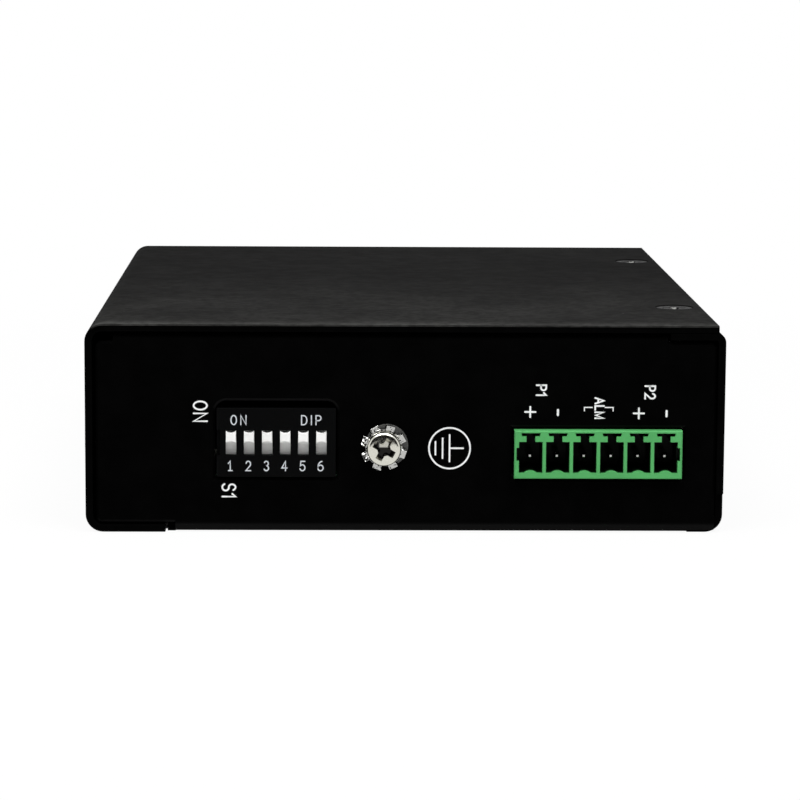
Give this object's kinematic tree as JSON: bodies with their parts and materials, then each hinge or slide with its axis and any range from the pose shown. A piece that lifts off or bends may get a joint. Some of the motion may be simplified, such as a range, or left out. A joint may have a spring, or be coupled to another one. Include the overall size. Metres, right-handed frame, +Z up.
{
  "type": "ethernet switch",
  "caption": "Flat folded-metal network switch for rail mounting, with sockets along one edge and option sliders, an earth screw and a keyed terminal header on the end.",
  "frame": {"origin": "middle of the underside of the housing", "axes": "+X towards the rail wall, +Y away from the end with the terminals, +Z up"},
  "size_m": [0.0906, 0.1166, 0.0295],
  "materials": {
    "black_coat": "fine powder coat",
    "black_zinc": "black zinc plate",
    "nickel": "nickel plate",
    "washer_steel": "bright zinc plate",
    "board_laminate": "solder mask on glass-fibre laminate",
    "green_plastic": "moulded",
    "tin": "tin plate",
    "shield_steel": "nickel-plated foil",
    "gold_wire": "gold plate",
    "white_plastic": "moulded",
    "green_lens": "clouded",
    "amber_lens": "clouded",
    "clear_lens": "clouded",
    "black_plastic": "moulded"
  },
  "bodies": {
    "housing": {"alarm_relay": "black_plastic", "base": "black_coat", "board_screws": "nickel", "board_standoffs": "nickel", "clip_nuts": "nickel", "cover": "black_coat", "cover_screws_lower": "black_zinc", "cover_screws_upper": "black_zinc", "crystal": "tin", "earth_lock_washer": "washer_steel", "earth_nut": "nickel", "earth_plain_washer": "washer_steel", "earth_screw": "nickel", "line_transformers": "black_plastic", "main_board": "board_laminate", "network_chip": "black_plastic", "port_1_contacts": "gold_wire", "port_1_insert": "black_plastic", "port_1_shield": "shield_steel", "port_2_contacts": "gold_wire", "port_2_insert": "black_plastic", "port_2_shield": "shield_steel", "port_3_contacts": "gold_wire", "port_3_insert": "black_plastic", "port_3_shield": "shield_steel", "port_4_contacts": "gold_wire", "port_4_insert": "black_plastic", "port_4_shield": "shield_steel", "port_5_contacts": "gold_wire", "port_5_insert": "black_plastic", "port_5_shield": "shield_steel", "port_lenses_front": "green_lens", "port_lenses_rear": "amber_lens", "status_lamp_holders": "black_plastic", "status_lamps": "clear_lens", "supply_capacitors": "tin", "supply_chip": "black_plastic", "supply_choke": "black_plastic", "supply_fuse": "black_plastic", "surge_diodes": "black_plastic", "switch_base": "black_plastic", "switch_housing": "black_plastic", "switch_leads": "tin", "terminal_header": "green_plastic", "terminal_pins": "tin"},
    "slider_1": {"slider_1": "white_plastic"},
    "slider_2": {"slider_2": "white_plastic"},
    "slider_3": {"slider_3": "white_plastic"},
    "slider_4": {"slider_4": "white_plastic"},
    "slider_5": {"slider_5": "white_plastic"},
    "slider_6": {"slider_6": "white_plastic"}
  },
  "joints": [
    {"name": "slider_1_throw", "type": "slide", "parent": "housing", "child": "slider_1", "axis": [0, 0, -1], "range_m": [0, 0.0017]},
    {"name": "slider_2_throw", "type": "slide", "parent": "housing", "child": "slider_2", "axis": [0, 0, -1], "range_m": [0, 0.0017]},
    {"name": "slider_3_throw", "type": "slide", "parent": "housing", "child": "slider_3", "axis": [0, 0, -1], "range_m": [0, 0.0017]},
    {"name": "slider_4_throw", "type": "slide", "parent": "housing", "child": "slider_4", "axis": [0, 0, -1], "range_m": [0, 0.0017]},
    {"name": "slider_5_throw", "type": "slide", "parent": "housing", "child": "slider_5", "axis": [0, 0, -1], "range_m": [0, 0.0017]},
    {"name": "slider_6_throw", "type": "slide", "parent": "housing", "child": "slider_6", "axis": [0, 0, -1], "range_m": [0, 0.0017]}
  ]
}
